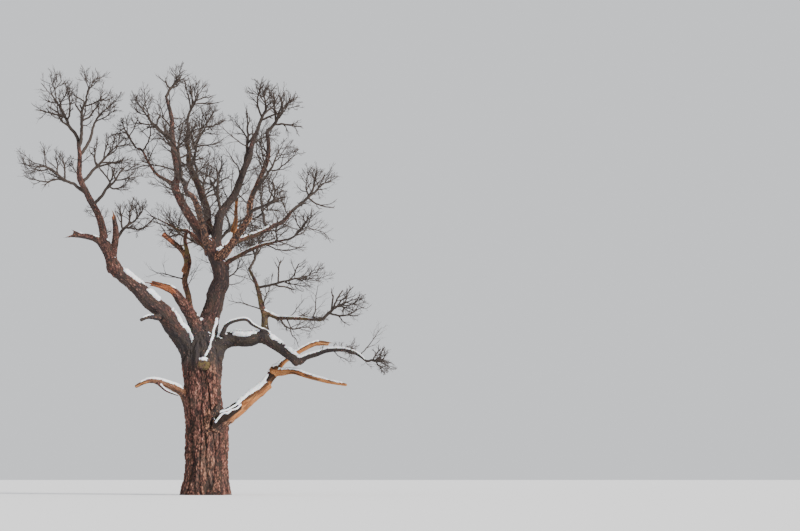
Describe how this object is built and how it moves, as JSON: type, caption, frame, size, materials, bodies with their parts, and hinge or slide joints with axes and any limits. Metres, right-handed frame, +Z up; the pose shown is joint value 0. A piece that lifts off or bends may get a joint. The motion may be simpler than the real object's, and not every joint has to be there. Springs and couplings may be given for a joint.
{
  "type": "bare oak tree",
  "caption": "Old leafless oak in winter: thick leaning trunk, crooked and torn boughs with snow on them, and an open crown of fine twigs.",
  "frame": {"origin": "middle of the flat cut under the trunk, at ground level", "axes": "+Z up, +X to the right in the view of the picture, +Y away from the viewer"},
  "size_m": [16.9489, 14.0874, 20.4018],
  "materials": {
    "bark": "deeply furrowed, dull",
    "dead_wood": "weathered, bare and split",
    "twigs": "dull thin bark",
    "snow": "soft, lightly packed"
  },
  "bodies": {
    "root": {"trunk": "bark", "left_bough": "bark", "low_right_bough": "bark", "centre_bough": "bark", "torn_bough": "bark", "rear_bough": "bark", "dead_limb": "dead_wood", "left_stub": "bark", "left_snag": "bark", "left_leader": "bark", "left_spur": "bark", "crooked_snag": "bark", "centre_left_limb": "bark", "centre_right_limb": "bark", "centre_rear_limb": "bark", "centre_front_limb": "bark", "right_pale_limb": "bark", "right_level_limb": "bark", "thin_left_limb": "bark", "torn_spike": "dead_wood", "right_low_limb": "bark", "west_side_limb": "bark", "low_right_upright": "bark", "low_right_side_limb": "bark", "low_right_tip": "bark", "dead_limb_upper_prong": "dead_wood", "dead_limb_lower_prong": "dead_wood", "twigs_left_top_west": "twigs", "twigs_left_top_middle": "twigs", "twigs_left_top_east": "twigs", "twigs_left_middle_east": "twigs", "twigs_left_low_east": "twigs", "twigs_left_snag": "twigs", "twigs_left_far_west": "twigs", "twigs_centre_left_top": "twigs", "twigs_centre_left_west": "twigs", "twigs_west_side": "twigs", "twigs_centre_rear_top": "twigs", "twigs_centre_rear_east": "twigs", "twigs_centre_rear_back": "twigs", "twigs_centre_front": "twigs", "twigs_centre_between": "twigs", "twigs_right_top_west": "twigs", "twigs_right_top": "twigs", "twigs_right_pale_top": "twigs", "twigs_right_pale_east": "twigs", "twigs_right_front": "twigs", "twigs_right_level_top": "twigs", "twigs_right_level_rear": "twigs", "twigs_right_low": "twigs", "twigs_low_upright_top": "twigs", "twigs_low_upright_east": "twigs", "twigs_low_side": "twigs", "twigs_low_right_tip": "twigs", "twigs_rear_top": "twigs", "twigs_rear_east": "twigs", "twigs_rear_west": "twigs", "snow_on_left_bough": "snow", "snow_on_low_right_bough": "snow", "snow_on_dead_limb": "snow"}
  },
  "joints": []
}
